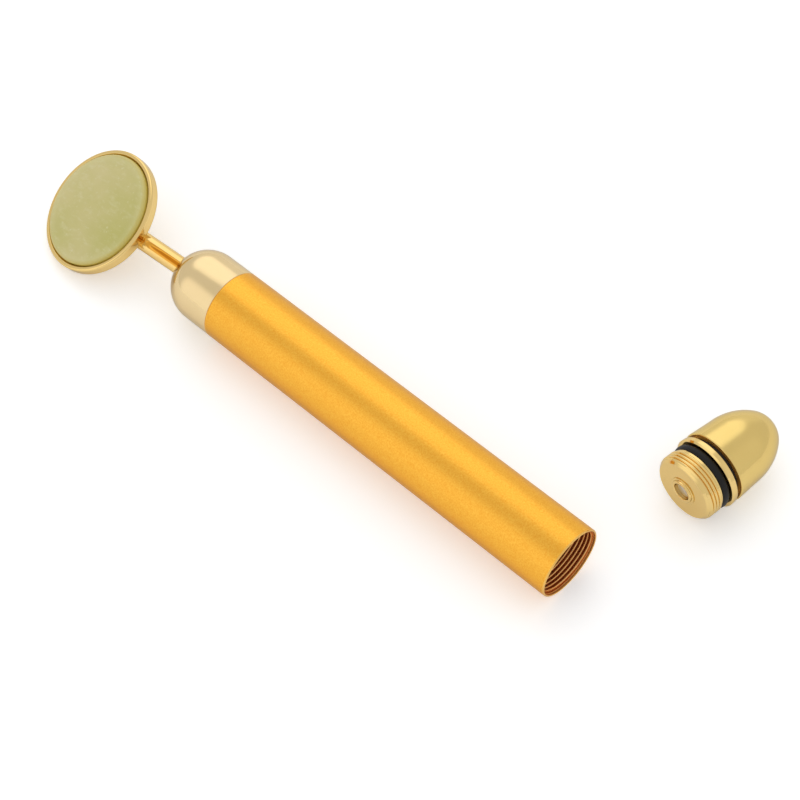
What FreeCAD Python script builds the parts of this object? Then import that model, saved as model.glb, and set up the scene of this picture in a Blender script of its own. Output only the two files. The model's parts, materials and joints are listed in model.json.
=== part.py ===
import FreeCAD, Part
import math
import os
from types import SimpleNamespace

import Sketcher
from FreeCAD import Placement, Rotation, Vector

# Battery facial massager, lying on its side with the tail cap taken off.
# Origin at the middle of the open mouth, +X along the handle out of the mouth, +Z up,
# floor one tube radius below the origin. Handle pieces are measured from the mouth
# towards the head, cap pieces from the plug's nose towards the tip of the dome.

DRIVING_SIZES = {
    # handle tube
    "cell_slack": 0.4,
    "tube_wall": 1.0,
    "thread_step": 0.425,
    "thread_end_gap": 0.2,
    "lead_in_step": 0.125,
    "lead_in_depth": 0.55,
    "mouth_round": 0.3,
    "seam_round": 0.15,
    # front dome
    "dome_skirt": 7.6,
    "spigot_wall": 1.07,
    "dome_cavity_depth": 6.0,
    "spigot_length": 6.0,
    "seat_gap": 0.03,
    # neck and how it leaves the dome
    "stem_d": 4.35,
    "stem_socket": 5.5,
    "stem_run": 20.0,
    "flute_width": 1.72,
    "flute_depth": 1.68,
    "flute_over": 0.3,
    "flute_start": 0.6,
    "flute_end": 12.0,
    "head_yaw": 4.82,
    "head_pitch": 3.73,
    "head_roll": 27.6,
    # stone disc and its dish
    "disc_reach": 26.04,
    "disc_drop": 0.3,
    "disc_tilt": 18.35,
    "dish_d": 30.55,
    "dish_wall": 1.46,
    "dish_floor": 0.8,
    "dish_back_round": 0.9,
    "lip_width": 1.3,
    "lip_round": 0.5,
    "lip_bevel": 0.35,
    "lip_bevel_depth": 0.5,
    "stone_gap": 0.05,
    "stone_proud": 0.8,
    "stone_round": 0.9,
    "stone_crown": 0.4,
    "stone_middle_d": 15.0,
    # cell
    "cell_d": 14.2,
    "cell_length": 50.5,
    "cell_round": 0.5,
    "cell_gap": 0.1,
    "button_d": 5.4,
    "button_height": 1.1,
    "washer_setback": 1.3,
    "washer_height": 0.3,
    # front contact
    "spring_length": 4.1,
    "spring_d": 4.6,
    "spring_wire": 0.5,
    "spring_turns": 3.5,
    "rivet_d": 1.9,
    "rivet_head_d": 6.0,
    "rivet_head": 0.5,
    "rivet_tail_d": 3.4,
    "board_thickness": 1.2,
    # motor
    "holder_rear_room": 4.0,
    "holder_wall": 0.8,
    "holder_shoulder": 1.0,
    "shoulder_ledge": 1.2,
    "holder_grip": 1.44,
    "motor_length": 15.0,
    "motor_wall": 0.5,
    "bell_flange": 1.2,
    "bell_spigot": 1.5,
    "magnet_wall": 1.27,
    "magnet_length": 9.0,
    "magnet_setback": 2.4,
    "rotor_air_gap": 0.25,
    "rotor_length": 7.0,
    "winding_setback": 0.65,
    "winding_length": 0.6,
    "commutator_d": 3.2,
    "commutator_length": 0.9,
    "shaft_d": 1.5,
    "shaft_tail": 0.6,
    "shaft_nose": 0.8,
    "run_gap": 0.03,
    "bush_d": 3.0,
    "bush_length": 1.6,
    "weight_gap": 1.27,
    "weight_length": 6.0,
    "weight_hub_d": 3.2,
    "weight_standoff": 2.4,
    "nose_room": 1.31,
    # motor leads
    "tab_width": 1.6,
    "tab_thickness": 0.4,
    "tab_offset": 3.5,
    "strip_width": 2.0,
    "strip_thickness": 0.3,
    # tail cap
    "plug_thread_gap": 0.5,
    "plug_chamfer": 0.46,
    "thread_length": 4.24,
    "ring_section": 1.4,
    "ring_side_gap": 0.1,
    "groove_slack": 0.45,
    "ring_slack": 0.05,
    "land_width": 1.4,
    "land_bevel": 0.35,
    "land_round": 0.2,
    "dome_gap": 1.17,
    "neck_step": 1.025,
    "neck_wall": 1.2,
    "neck_length": 6.0,
    "plug_web": 2.2,
    "cap_taper_length": 5.79,
    "cap_taper": 0.36,
    "cap_nose_length": 11.26,
    "cap_nose_slack": 1.8,
    "cap_rim_round": 0.3,
    "cap_rim_bevel": 0.6,
    "cap_rim_bevel_depth": 0.5,
    "turn_washer_height": 0.5,
    "turn_washer_gap": 0.3,
    "twist_gap": 0.08,
    "dome_room": 0.9,
    "post_d": 4.0,
    "post_setback": 2.4,
    "clip_width": 0.6,
    "clip_height": 0.9,
    "clip_opening": 2.4,
    # tail contact
    "eyelet_bore_d": 4.1,
    "eyelet_wall": 0.7,
    "eyelet_height": 0.6,
    "eyelet_lip": 0.2,
    "eyelet_brim": 0.55,
    "eyelet_flange": 0.25,
    "bush_wall": 0.5,
    "bush_flange": 1.0,
    "bush_room": 0.5,
    "contact_setback": 0.3,
    "contact_thickness": 1.0,
    "plate_gap": 0.5,
    "plate_thickness": 0.8,
    "switch_spring_d": 3.9,
    "switch_spring_turns": 3.5,
    # where the cap lies on the floor
    "cap_nose_x": 6.081,
    "cap_nose_y": 29.302,
    "cap_heading": 82.935,
}

SAFE_WIRE_GAP = 0.4
doc = FreeCAD.newDocument("facial_massager")


class Size:
    """A length or angle that carries both its number and the sheet expression that gives it."""

    def __init__(self, number, text):
        self.number = number
        self.text = text

    def __add__(self, other):
        other = as_size(other)
        return Size(self.number + other.number, f"({self.text} + {other.text})")

    def __sub__(self, other):
        other = as_size(other)
        return Size(self.number - other.number, f"({self.text} - {other.text})")

    def __mul__(self, other):
        other = as_size(other)
        return Size(self.number * other.number, f"({self.text} * {other.text})")

    def __truediv__(self, other):
        other = as_size(other)
        return Size(self.number / other.number, f"({self.text} / {other.text})")

    def __neg__(self):
        return Size(-self.number, f"(0 - {self.text})")


def as_size(value):
    """Plain numbers join sums as sizes without a cell."""
    if isinstance(value, Size):
        return value
    return Size(float(value), str(value))


def fill_sheet():
    """Puts each driving size in a named cell and returns the sizes by name."""
    sheet = doc.addObject("Spreadsheet::Sheet", "Sizes")
    for row, (alias, number) in enumerate(DRIVING_SIZES.items(), start=1):
        sheet.set(f"A{row}", alias)
        sheet.set(f"B{row}", str(number))
        sheet.setAlias(f"B{row}", alias)
    doc.recompute()
    cells = {alias: Size(float(sheet.get(alias)), f"Sizes.{alias}") for alias in DRIVING_SIZES}
    return SimpleNamespace(**cells)


d = fill_sheet()
finished = {}


def finish(label, piece):
    """Gives a finished sub-part its name; every named sub-part is written at the end."""
    piece.Label = label
    finished[label] = piece
    return piece


def bind(piece, **sizes):
    """Ties properties of an object to the sheet."""
    for name, size in sizes.items():
        piece.setExpression(name, as_size(size).text)
    return piece


def arc_between(start, end, radius, left):
    """Circle arc from start to end whose centre lies left or right of the way there."""
    middle = (start + end) * 0.5
    chord = end - start
    half = chord.Length / 2
    rise = math.sqrt(max(radius * radius - half * half, 0.0))
    side = Vector(-chord.y, chord.x, 0).normalize()
    centre = middle + side * (rise if left else -rise)
    first, last = (start, end) if left else (end, start)
    angle_first = math.atan2(first.y - centre.y, first.x - centre.x)
    angle_last = math.atan2(last.y - centre.y, last.x - centre.x)
    if angle_last < angle_first:
        angle_last += 2 * math.pi
    circle = Part.Circle(centre, Vector(0, 0, 1), radius)
    return Part.ArcOfCircle(circle, angle_first, angle_last)


def hold_coordinate(sketch, name, kind, axis, point, size):
    """Holds one coordinate of a sketch point at a size from the sheet."""
    geometry, end = point
    size = as_size(size)
    if size.number == 0:
        sketch.addConstraint(Sketcher.Constraint("PointOnObject", geometry, end, axis))
        return
    ends = (-1, 1, geometry, end) if size.number > 0 else (geometry, end, -1, 1)
    size = size if size.number > 0 else -size
    index = sketch.addConstraint(Sketcher.Constraint(kind, *ends, size.number))
    sketch.renameConstraint(index, name)
    sketch.setExpression(f"Constraints.{name}", size.text)


def draw_outline(sketch, outline):
    """Draws a closed outline of points (x, y) or (x, y, radius, left), an arc to the next point.

    An arc that ends on the axis has its centre there too, so that it turns to a true ball."""
    points = [Vector(as_size(p[0]).number, as_size(p[1]).number, 0) for p in outline]
    ends = []
    for index, point in enumerate(outline):
        start, end = points[index], points[(index + 1) % len(points)]
        if len(point) == 2:
            geometry = sketch.addGeometry(Part.LineSegment(start, end))
            ends.append((geometry, 1, 2))
            continue
        radius, left = as_size(point[2]), point[3]
        geometry = sketch.addGeometry(arc_between(start, end, radius.number, left))
        ends.append((geometry, 1, 2) if left else (geometry, 2, 1))
        if end.y == 0:
            sketch.addConstraint(Sketcher.Constraint("PointOnObject", geometry, 3, -1))
            continue
        row = sketch.addConstraint(Sketcher.Constraint("Radius", geometry, radius.number))
        sketch.renameConstraint(row, f"radius{index}")
        sketch.setExpression(f"Constraints.radius{index}", radius.text)
    for index, (geometry, first, last) in enumerate(ends):
        following = ends[(index + 1) % len(ends)]
        sketch.addConstraint(Sketcher.Constraint("Coincident", geometry, last, following[0], following[1]))
        hold_coordinate(sketch, f"x{index}", "DistanceX", -2, (geometry, first), outline[index][0])
        hold_coordinate(sketch, f"y{index}", "DistanceY", -1, (geometry, first), outline[index][1])


def body_sketch(label, place, plane):
    """A new body at its place with an empty sketch on one of its own planes."""
    body = doc.addObject("PartDesign::Body", label)
    sketch = body.newObject("Sketcher::SketchObject", f"{label}_outline")
    support = [f for f in body.Origin.OriginFeatures if f.Role == plane][0]
    sketch.AttachmentSupport = [(support, "")]
    sketch.MapMode = "FlatFace"
    body.Placement = place
    return body, sketch


def turned(label, place, outline):
    """A piece turned about its own X axis: points are (along the axis, radius)."""
    body, sketch = body_sketch(label, place, "XY_Plane")
    draw_outline(sketch, outline)
    turn = body.newObject("PartDesign::Revolution", f"{label}_turn")
    turn.Profile = sketch
    turn.ReferenceAxis = (sketch, ["H_Axis"])
    turn.Angle = 360
    sketch.Visibility = False
    return body


def padded(label, place, outline, length):
    """A piece with one profile along its own X axis: points are (across, up)."""
    body, sketch = body_sketch(label, place, "YZ_Plane")
    draw_outline(sketch, outline)
    pad = body.newObject("PartDesign::Pad", f"{label}_pad")
    pad.Profile = sketch
    sketch.Visibility = False
    bind(pad, Length=length)
    return body


def box(label, place, length, width, height):
    """A plain block, length along the axis of its group."""
    block = doc.addObject("Part::Box", label)
    block.Placement = place
    return bind(block, Length=length, Width=width, Height=height)


def rod(label, place, radius, height):
    """A round bar along its own Z axis."""
    bar = doc.addObject("Part::Cylinder", label)
    bar.Placement = place
    return bind(bar, Radius=radius, Height=height)


def cut(label, base, tool):
    """What is left of base once tool is taken away."""
    piece = doc.addObject("Part::Cut", label)
    piece.Base = base
    piece.Tool = tool
    return piece


def moved(place, x=0.0, y=0.0, z=0.0, rotation=None):
    """A place inside a group, given in the group's own axes."""
    shift = Vector(as_size(x).number, as_size(y).number, as_size(z).number)
    return place.multiply(Placement(shift, rotation or Rotation()))


ALONG_X = Rotation(Vector(0, 1, 0), 90)
Z_TO_X = Rotation(Vector(0, 1, 0), -90)

# radii that follow from the cell: bore, tube, thread, plug and what turns on it
cell_r = d.cell_d / 2
bore_r = cell_r + d.cell_slack
tube_r = bore_r + d.tube_wall
thread_r = bore_r + d.thread_step
lead_r = thread_r + d.lead_in_step
plug_r = thread_r - d.plug_thread_gap
neck_r = plug_r - d.neck_step
plug_cavity_r = neck_r - d.neck_wall
eyelet_bore_r = d.eyelet_bore_d / 2
eyelet_r = eyelet_bore_r + d.eyelet_wall
holder_r = bore_r - d.seat_gap
holder_room_r = holder_r - d.holder_wall
motor_r = holder_r - d.holder_grip - d.seat_gap
magnet_r = motor_r - d.motor_wall - d.seat_gap
magnet_bore_r = magnet_r - d.magnet_wall
shaft_r = d.shaft_d / 2
dish_r = d.dish_d / 2
dish_depth = d.dish_back_round + d.dish_wall + d.lip_round

# tail cap places along its own axis, from the nose
groove_start = d.thread_length
land_start = groove_start + d.ring_section + d.ring_side_gap * 2 + d.groove_slack
land_end = land_start + d.land_width
cap_rim = land_end + d.dome_gap
cap_seat = cap_rim + d.cap_rim_bevel_depth
neck_end = land_end + d.neck_length
dome_cavity_end = neck_end + d.dome_room
post_end = neck_end - d.post_setback
plate_front = post_end - d.plate_thickness

# places along the handle, from the mouth
cell_tail = land_start + d.eyelet_height + d.cell_gap
thread_end = cell_tail - d.thread_end_gap
button_tip = cell_tail + d.cell_length
cell_shoulder = button_tip - d.button_height
rivet_face = button_tip + d.cell_gap + d.spring_length
board_face = rivet_face + d.rivet_head
holder_rear = board_face + d.board_thickness
bell_rear = holder_rear + d.holder_rear_room
can_rear = bell_rear + d.bell_flange
can_front = can_rear + d.motor_length
weight_rear = can_front + d.weight_standoff
weight_front = weight_rear + d.weight_length
holder_front = weight_front + d.nose_room

# the tube is as long as what it holds: cap nose, cell, front contact, motor, weight, spigot
seam = holder_front + d.spigot_length
dome_tip = seam + d.dome_skirt + tube_r

# the three groups: handle, tilted head and loose cap
handle = Placement(Vector(0, 0, 0), Rotation(Vector(0, 0, 1), 180))
head_turn = Rotation(d.head_yaw.number, -d.head_pitch.number, -d.head_roll.number)
head = moved(handle, x=dome_tip, rotation=head_turn)
disc_turn = Rotation(Vector(0, 1, 0), d.disc_tilt.number)
disc = moved(head, x=d.disc_reach, z=-d.disc_drop, rotation=disc_turn)
dish = moved(disc, z=-dish_depth, rotation=Z_TO_X)
cap_turn = Rotation(Vector(0, 0, 1), d.cap_heading.number)
cap = Placement(Vector(d.cap_nose_x.number, d.cap_nose_y.number, 0), cap_turn)


def make_tube():
    """Straight tube: lead-in and thread bore at the mouth, cell bore behind, soft edges."""
    outline = [
        (0, lead_r),
        (d.lead_in_depth, lead_r),
        (d.lead_in_depth, thread_r),
        (thread_end, thread_r),
        (thread_end, bore_r),
        (seam, bore_r),
        (seam, tube_r - d.seam_round, d.seam_round, True),
        (seam - d.seam_round, tube_r),
        (d.mouth_round, tube_r, d.mouth_round, True),
        (0, tube_r - d.mouth_round),
    ]
    finish("handle_tube", turned("tube", handle, outline))


def make_front_dome():
    """Round nose with a spigot in the tube and a slanted socket for the neck."""
    back = seam - d.spigot_length
    cavity_r = holder_r - d.spigot_wall
    cavity_end = seam + d.dome_cavity_depth
    outline = [
        (back, cavity_r),
        (back, holder_r),
        (seam, holder_r),
        (seam, tube_r - d.seam_round, d.seam_round, False),
        (seam + d.seam_round, tube_r),
        (seam + d.dome_skirt, tube_r, tube_r, False),
        (dome_tip, 0),
        (cavity_end, 0),
        (cavity_end, cavity_r),
    ]
    blank = turned("dome_blank", handle, outline)
    socket_place = moved(head, x=-d.stem_socket, rotation=ALONG_X)
    socket = rod("neck_socket", socket_place, d.stem_d / 2 + d.seat_gap, d.stem_socket * 2)
    finish("front_dome", cut("front_dome_cut", blank, socket))


def make_neck():
    """Round neck with a deep flute on the stone's side, coped to the dish's wall and back."""
    stem_r = d.stem_d / 2
    outline = [
        (-d.stem_socket, 0),
        (-d.stem_socket, stem_r),
        (d.stem_run - stem_r, stem_r, stem_r, False),
        (d.stem_run, 0),
    ]
    blank = turned("neck_blank", head, outline)
    flute_top = stem_r + d.flute_over
    flute_half = d.flute_width / 2 * (d.flute_depth + d.flute_over) / d.flute_depth
    flute_outline = [
        (0, stem_r - d.flute_depth),
        (flute_half, flute_top),
        (-flute_half, flute_top),
    ]
    flute_place = moved(head, x=-d.flute_start)
    flute = padded("neck_flute", flute_place, flute_outline, d.flute_start + d.flute_end)
    fluted = cut("neck_fluted", blank, flute)
    room = rod("dish_room", moved(disc, z=-dish_depth), dish_r, d.dish_d)
    finish("head_stem", cut("neck_cut", fluted, room))


def make_dish():
    """Shallow dish with a round-backed wall and a soft lip, bevelled towards the stone."""
    recess_r = dish_r - d.lip_width
    outline = [
        (0, 0),
        (0, dish_r - d.dish_back_round, d.dish_back_round, False),
        (d.dish_back_round, dish_r),
        (dish_depth - d.lip_round, dish_r, d.lip_round, False),
        (dish_depth, dish_r - d.lip_round),
        (dish_depth, recess_r + d.lip_bevel),
        (dish_depth - d.lip_bevel_depth, recess_r),
        (d.dish_floor, recess_r),
        (d.dish_floor, 0),
    ]
    finish("disc_bezel", turned("bezel", dish, outline))


def make_stone():
    """Flat-bottomed stone: rounded shoulder, slow slope and a flat middle."""
    stone_r = dish_r - d.lip_width - d.stone_gap
    shoulder = dish_depth + d.stone_proud
    face = shoulder + d.stone_crown
    slope_r = stone_r - d.stone_round
    middle_r = d.stone_middle_d / 2
    slope = slope_r - middle_r
    crown_r = (slope * slope + d.stone_crown * d.stone_crown) / (d.stone_crown * 2)
    outline = [
        (d.dish_floor, 0),
        (d.dish_floor, stone_r),
        (shoulder - d.stone_round, stone_r, d.stone_round, False),
        (shoulder, slope_r, crown_r, False),
        (face, middle_r),
        (face, 0),
    ]
    finish("jade_disc", turned("stone", dish, outline))


def make_cell():
    """AA cell as can, positive button and insulating washer."""
    can_outline = [
        (cell_tail, 0),
        (cell_tail, cell_r - d.cell_round, d.cell_round, False),
        (cell_tail + d.cell_round, cell_r),
        (cell_shoulder - d.cell_round, cell_r, d.cell_round, False),
        (cell_shoulder, cell_r - d.cell_round),
        (cell_shoulder, 0),
    ]
    finish("battery_can", turned("cell_can", handle, can_outline))
    button_r = d.button_d / 2
    button_outline = [
        (cell_shoulder, 0),
        (cell_shoulder, button_r),
        (button_tip, button_r),
        (button_tip, 0),
    ]
    finish("battery_button", turned("cell_button", handle, button_outline))
    washer_r = cell_r - d.washer_setback
    washer_top = cell_shoulder + d.washer_height
    washer_outline = [
        (cell_shoulder, button_r + d.seat_gap),
        (cell_shoulder, washer_r),
        (washer_top, washer_r),
        (washer_top, button_r + d.seat_gap),
    ]
    finish("battery_washer", turned("cell_washer", handle, washer_outline))


def helix_points(radius, length, turns):
    """Quarter-turn stations of a helix along X with the direction of travel at each."""
    count = int(round(turns * 4))
    slope = length / (2 * math.pi * turns)
    stations = []
    for step in range(count + 1):
        angle = 2 * math.pi * turns * step / count
        point = Vector(slope * angle, radius * math.cos(angle), radius * math.sin(angle))
        way = Vector(slope, -radius * math.sin(angle), radius * math.cos(angle)).normalize()
        stations.append((point, way))
    return stations


def tangent_arc(start, way, end):
    """Arc that leaves start along way and ends at end."""
    chord = end - start
    cosine = way.dot(chord) / chord.Length
    apex = start + way * (chord.Length / (2 * cosine))
    middle = (start + end) * 0.5
    top = middle + (apex - middle) * (cosine / (1 + cosine))
    return Part.Arc(start, top, end).toShape()


def biarc(first, second):
    """Two arcs that join two stations and share their direction where they meet."""
    (start, way_out), (end, way_in) = first, second
    chord = end - start
    turn = 2 * (1 - way_out.dot(way_in))
    pull = chord.dot(way_out + way_in)
    reach = (math.sqrt(pull * pull + turn * chord.dot(chord)) - pull) / turn
    meeting = (start + end + (way_out - way_in) * reach) * 0.5
    backward = tangent_arc(end, way_in * -1.0, meeting)
    backward.reverse()
    return [tangent_arc(start, way_out, meeting), backward]


def coil(label, place, outer_d, wire, length, turns):
    """Compression spring along X as one unbroken wire, its middle line inside length."""
    rise = length.number - wire.number
    radius = (outer_d.number - wire.number) / 2
    stations = helix_points(radius, rise, turns.number)
    edges = []
    for first, second in zip(stations, stations[1:]):
        edges += biarc(first, second)
    path = Part.Wire(edges)
    start, way = stations[0]
    section = Part.Wire([Part.makeCircle(wire.number / 2, start, way)])
    spring = doc.addObject("Part::Feature", label)
    spring.Shape = path.makePipeShell([section], True, False)
    spring.Placement = place
    gap = rise / turns.number - wire.number
    print(f"{label}: least gap between turns {gap:.2f} mm")
    if gap < SAFE_WIRE_GAP:
        raise ValueError(f"{label}: turns are closer than {SAFE_WIRE_GAP} mm")
    return spring


def make_front_contact():
    """Spring that meets the cell's button, its rivet and the board that carries them."""
    start = button_tip + d.cell_gap + d.spring_wire / 2
    spring_place = moved(handle, x=start)
    spring = coil("front_coil", spring_place, d.spring_d, d.spring_wire, d.spring_length, d.spring_turns)
    finish("front_spring", spring)
    rivet_r = d.rivet_d / 2
    head_r = d.rivet_head_d / 2
    tail_r = d.rivet_tail_d / 2
    tail_end = holder_rear + d.rivet_head
    rivet_outline = [
        (rivet_face, 0),
        (rivet_face, head_r),
        (board_face, head_r),
        (board_face, rivet_r),
        (holder_rear, rivet_r),
        (holder_rear, tail_r),
        (tail_end, tail_r),
        (tail_end, 0),
    ]
    finish("contact_rivet", turned("rivet", handle, rivet_outline))
    board_outline = [
        (board_face, rivet_r + d.seat_gap),
        (board_face, holder_r),
        (holder_rear, holder_r),
        (holder_rear, rivet_r + d.seat_gap),
    ]
    finish("contact_board", turned("board", handle, board_outline))


def make_holder():
    """Moulded sleeve that grips the motor between the board and the dome's spigot."""
    seat_r = motor_r + d.seat_gap
    ledge_r = motor_r - d.shoulder_ledge
    shoulder_end = can_front + d.holder_shoulder
    outline = [
        (holder_rear, holder_room_r),
        (holder_rear, holder_r),
        (holder_front, holder_r),
        (holder_front, holder_room_r),
        (shoulder_end, holder_room_r),
        (shoulder_end, ledge_r),
        (can_front, ledge_r),
        (can_front, seat_r),
        (bell_rear, seat_r),
        (bell_rear, holder_room_r),
    ]
    blank = turned("holder_blank", handle, outline)
    width = d.strip_width + d.seat_gap * 2
    notch_place = moved(handle, x=holder_rear, y=-bore_r * 2, z=-width / 2)
    notch_depth = d.rivet_head + d.strip_thickness + d.seat_gap
    notch = box("holder_notch", notch_place, notch_depth, bore_r * 2, width)
    finish("motor_holder", cut("holder_cut", blank, notch))


def make_motor_case():
    """Drawn can, ring magnet, end bell and front bush."""
    inner_r = motor_r - d.motor_wall
    bush_r = d.bush_d / 2
    front_wall = can_front - d.motor_wall
    can_outline = [
        (can_rear, inner_r),
        (can_rear, motor_r),
        (can_front, motor_r),
        (can_front, bush_r + d.seat_gap),
        (front_wall, bush_r + d.seat_gap),
        (front_wall, inner_r),
    ]
    finish("motor_can", turned("can", handle, can_outline))
    magnet_front = can_front - d.magnet_setback
    magnet_rear = magnet_front - d.magnet_length
    magnet_outline = [
        (magnet_rear, magnet_bore_r),
        (magnet_rear, magnet_r),
        (magnet_front, magnet_r),
        (magnet_front, magnet_bore_r),
    ]
    finish("ring_magnet", turned("magnet", handle, magnet_outline))
    bell_front = can_rear + d.bell_spigot
    bearing_r = shaft_r + d.run_gap
    bell_outline = [
        (bell_rear, 0),
        (bell_rear, motor_r),
        (can_rear, motor_r),
        (can_rear, magnet_r),
        (bell_front, magnet_r),
        (bell_front, bearing_r),
        (bell_rear + d.shaft_tail, bearing_r),
        (bell_rear + d.shaft_tail, 0),
    ]
    finish("motor_end_bell", turned("bell", handle, bell_outline))
    bush_front = can_front + d.motor_wall
    bush_rear = bush_front - d.bush_length
    bush_outline = [
        (bush_rear, bearing_r),
        (bush_rear, bush_r),
        (bush_front, bush_r),
        (bush_front, bearing_r),
    ]
    finish("motor_bush", turned("bush", handle, bush_outline))


def make_rotor():
    """Shaft, wound core, commutator and the off-centre weight that shakes the handle."""
    shaft_start = bell_rear + d.shaft_tail + d.run_gap
    shaft_end = weight_front + d.shaft_nose
    shaft_outline = [
        (shaft_start, 0),
        (shaft_start, shaft_r),
        (shaft_end, shaft_r),
        (shaft_end, 0),
    ]
    finish("motor_shaft", turned("shaft", handle, shaft_outline))
    core_r = magnet_bore_r - d.rotor_air_gap
    winding_r = core_r - d.winding_setback
    core_front = can_front - d.magnet_setback - (d.magnet_length - d.rotor_length) / 2
    core_rear = core_front - d.rotor_length
    winding_front = core_front + d.winding_length
    winding_rear = core_rear - d.winding_length
    grip_r = shaft_r + d.seat_gap
    core_outline = [
        (winding_rear, grip_r),
        (winding_rear, winding_r),
        (core_rear, winding_r),
        (core_rear, core_r),
        (core_front, core_r),
        (core_front, winding_r),
        (winding_front, winding_r),
        (winding_front, grip_r),
    ]
    finish("rotor_core", turned("core", handle, core_outline))
    commutator_r = d.commutator_d / 2
    commutator_rear = winding_rear - d.commutator_length
    commutator_outline = [
        (commutator_rear, grip_r),
        (commutator_rear, commutator_r),
        (winding_rear, commutator_r),
        (winding_rear, grip_r),
    ]
    finish("commutator", turned("collector", handle, commutator_outline))
    weight_place = moved(handle, x=weight_rear, rotation=ALONG_X)
    half_turn = moved(weight_place, rotation=Rotation(Vector(0, 0, 1), -90))
    lobe = rod("weight_lobe", half_turn, holder_room_r - d.weight_gap, d.weight_length)
    lobe.Angle = 180
    hub = rod("weight_hub", weight_place, d.weight_hub_d / 2, d.weight_length)
    blank = doc.addObject("Part::Fuse", "weight_blank")
    blank.Base = lobe
    blank.Tool = hub
    bore = rod("weight_bore", weight_place, grip_r, d.weight_length)
    finish("eccentric_weight", cut("weight_cut", blank, bore))


def make_leads():
    """Motor tabs, the strip to the contact rivet and the strip to the tube wall."""
    strip_rear = holder_rear + d.rivet_head
    strip_front = strip_rear + d.strip_thickness
    tab_length = bell_rear - strip_front
    tabs = []
    for name, side in (("tab_plus", 1), ("tab_minus", -1)):
        offset = d.tab_offset * side - d.tab_thickness / 2
        place = moved(handle, x=strip_front, y=offset, z=-d.tab_width / 2)
        tabs.append(box(name, place, tab_length, d.tab_thickness, d.tab_width))
    pair = doc.addObject("Part::MultiFuse", "tab_pair")
    pair.Shapes = tabs
    finish("motor_tabs", pair)
    half = d.strip_width / 2
    plus_place = moved(handle, x=strip_rear, y=-half, z=-half)
    plus_length = half + d.tab_offset + d.tab_thickness
    plus = box("plus_strip", plus_place, d.strip_thickness, plus_length, d.strip_width)
    finish("positive_strip", plus)
    minus_place = moved(handle, x=strip_rear, y=d.cell_gap - bore_r, z=-half)
    minus_length = bore_r - d.cell_gap - half * 2
    minus = box("minus_strip", minus_place, d.strip_thickness, minus_length, d.strip_width)
    finish("ground_strip", minus)


def make_plug():
    """Hollow plug: thread stretch, ring groove, land, and the neck that the dome turns on."""
    floor_r = lead_r - d.ring_slack * 2 - d.ring_section
    clip_floor_r = neck_r - d.clip_height / 2 - d.ring_slack
    hole_r = eyelet_r + d.bush_wall + d.seat_gap
    clip_end = neck_end - d.clip_width
    clip_start = clip_end - d.clip_width - d.ring_slack * 2
    outline = [
        (0, hole_r),
        (0, plug_r - d.plug_chamfer),
        (d.plug_chamfer, plug_r),
        (groove_start, plug_r),
        (groove_start, floor_r),
        (land_start, floor_r),
        (land_start, tube_r - d.land_bevel),
        (land_start + d.land_bevel, tube_r),
        (land_end - d.land_round, tube_r, d.land_round, False),
        (land_end, tube_r - d.land_round),
        (land_end, neck_r),
        (clip_start, neck_r),
        (clip_start, clip_floor_r),
        (clip_end, clip_floor_r),
        (clip_end, neck_r),
        (neck_end, neck_r),
        (neck_end, plug_cavity_r),
        (d.plug_web, plug_cavity_r),
        (d.plug_web, hole_r),
    ]
    finish("cap_plug", turned("plug", cap, outline))


def make_seal():
    """Rubber ring in the plug's groove, as large as the tube's lead-in lets pass."""
    section_r = d.ring_section / 2
    ring_middle = groove_start + d.ring_side_gap + section_r
    ring = doc.addObject("Part::Torus", "seal")
    ring.Placement = moved(cap, x=ring_middle, rotation=ALONG_X)
    bind(ring, Radius1=lead_r - d.ring_slack - section_r, Radius2=section_r)
    finish("o_ring", ring)


def make_turn_washer():
    """Black washer on the neck that fills the gap between the land and the turning dome."""
    washer_end = cap_seat - d.turn_washer_gap
    outline = [
        (land_end, neck_r + d.seat_gap),
        (land_end, neck_r + d.turn_washer_height),
        (washer_end, neck_r + d.turn_washer_height),
        (washer_end, neck_r + d.seat_gap),
    ]
    finish("turn_washer", turned("gap_washer", cap, outline))


def make_tail_contact():
    """Eyelet that meets the cell, the bush that insulates it, its pale core and switch spring."""
    bush_r = eyelet_r + d.bush_wall
    flange_r = plug_cavity_r - d.bush_room
    bush_end = d.plug_web + d.bush_flange
    bush_outline = [
        (0, eyelet_r + d.seat_gap),
        (0, bush_r),
        (d.plug_web, bush_r),
        (d.plug_web, flange_r),
        (bush_end, flange_r),
        (bush_end, eyelet_r + d.seat_gap),
    ]
    finish("contact_bush", turned("tail_bush", cap, bush_outline))
    lip = d.eyelet_lip
    brim_r = eyelet_r + d.eyelet_brim
    eyelet_outline = [
        (lip - d.eyelet_height, eyelet_bore_r),
        (-d.eyelet_height, eyelet_bore_r + lip),
        (-d.eyelet_height, eyelet_r - lip),
        (lip - d.eyelet_height, eyelet_r),
        (-d.eyelet_flange, eyelet_r),
        (-d.eyelet_flange, brim_r),
        (0, brim_r),
        (0, eyelet_r),
        (bush_end, eyelet_r),
        (bush_end, eyelet_bore_r),
    ]
    finish("contact_eyelet", turned("eyelet", cap, eyelet_outline))
    core_end = d.contact_setback + d.contact_thickness
    core_r = eyelet_bore_r - d.seat_gap
    core_outline = [
        (d.contact_setback, 0),
        (d.contact_setback, core_r),
        (core_end, core_r),
        (core_end, 0),
    ]
    finish("contact_core", turned("tail_core", cap, core_outline))
    spring_start = core_end + d.cell_gap
    spring_length = plate_front - d.cell_gap - spring_start
    place = moved(cap, x=spring_start + d.spring_wire / 2)
    spring = coil("switch_coil", place, d.switch_spring_d, d.spring_wire, spring_length, d.switch_spring_turns)
    finish("switch_spring", spring)


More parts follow.
